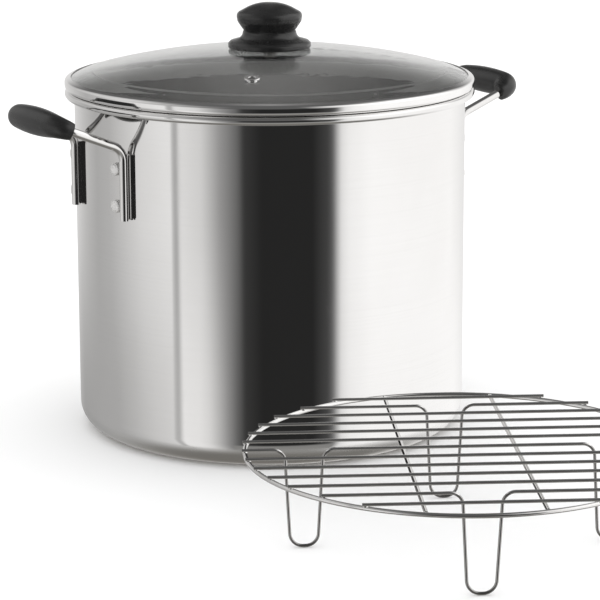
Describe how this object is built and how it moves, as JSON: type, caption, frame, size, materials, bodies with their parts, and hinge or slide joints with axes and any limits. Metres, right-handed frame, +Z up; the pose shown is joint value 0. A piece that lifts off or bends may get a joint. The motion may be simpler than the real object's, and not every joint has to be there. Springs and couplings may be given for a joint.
{
  "type": "water-bath canner",
  "caption": "Tall steel stock pot with riveted wire handles and black grips, vented glass lid with a black knob, and a round footed wire canning rack standing beside it.",
  "frame": {"origin": "centre of the pot's flat base, on the surface it stands on", "axes": "+Z up the pot's axis, +X to the right of the pot as pictured, -Y towards the viewer and the rack"},
  "size_m": [0.4791, 0.6435, 0.3386],
  "materials": {
    "pot_steel": "polished",
    "band_steel": "polished",
    "rod_steel": "polished",
    "bracket_steel": "satin",
    "rivet_alloy": "satin",
    "grip_black": "satin",
    "knob_black": "satin",
    "lid_glass": "clear",
    "vent_steel": "polished",
    "insert_brass": "machined",
    "screw_steel": "plated",
    "washer_rubber": "matte",
    "rack_steel": "polished"
  },
  "bodies": {
    "pot": {"pot_body": "pot_steel", "handle_rod_left": "rod_steel", "handle_rod_right": "rod_steel", "handle_grip_left": "grip_black", "handle_grip_right": "grip_black", "handle_bracket_left_front": "bracket_steel", "handle_bracket_left_rear": "bracket_steel", "handle_bracket_right_front": "bracket_steel", "handle_bracket_right_rear": "bracket_steel", "rivet_left_front_upper": "rivet_alloy", "rivet_left_front_lower": "rivet_alloy", "rivet_left_rear_upper": "rivet_alloy", "rivet_left_rear_lower": "rivet_alloy", "rivet_right_front_upper": "rivet_alloy", "rivet_right_front_lower": "rivet_alloy", "rivet_right_rear_upper": "rivet_alloy", "rivet_right_rear_lower": "rivet_alloy"},
    "lid": {"lid_glass": "lid_glass", "lid_band": "band_steel", "steam_vent_eyelet": "vent_steel", "glass_washer": "washer_rubber", "screw_washer": "screw_steel", "knob_screw": "screw_steel"},
    "knob": {"knob_base": "knob_black", "knob_cap": "knob_black", "knob_insert": "insert_brass"},
    "rack": {"rack_ring": "rack_steel", "rack_cross_wire_left": "rack_steel", "rack_cross_wire_right": "rack_steel", "rack_wire_01": "rack_steel", "rack_wire_02": "rack_steel", "rack_wire_03": "rack_steel", "rack_wire_04": "rack_steel", "rack_wire_05": "rack_steel", "rack_wire_06": "rack_steel", "rack_wire_07": "rack_steel", "rack_wire_08": "rack_steel", "rack_wire_09": "rack_steel", "rack_wire_10": "rack_steel", "rack_wire_11": "rack_steel", "rack_wire_12": "rack_steel", "rack_wire_13": "rack_steel"}
  },
  "joints": [
    {"name": "lid_lift", "type": "slide", "parent": "pot", "child": "lid", "axis": [0, 0, 1], "range_m": [0, 0.3]},
    {"name": "knob_turn", "type": "hinge", "parent": "lid", "child": "knob", "pos_m": [0, 0, 0.31], "axis": [0, 0, 1], "continuous": true},
    {"name": "rack_lift", "type": "slide", "parent": "pot", "child": "rack", "axis": [0, 0, 1], "range_m": [0, 0.3]}
  ]
}
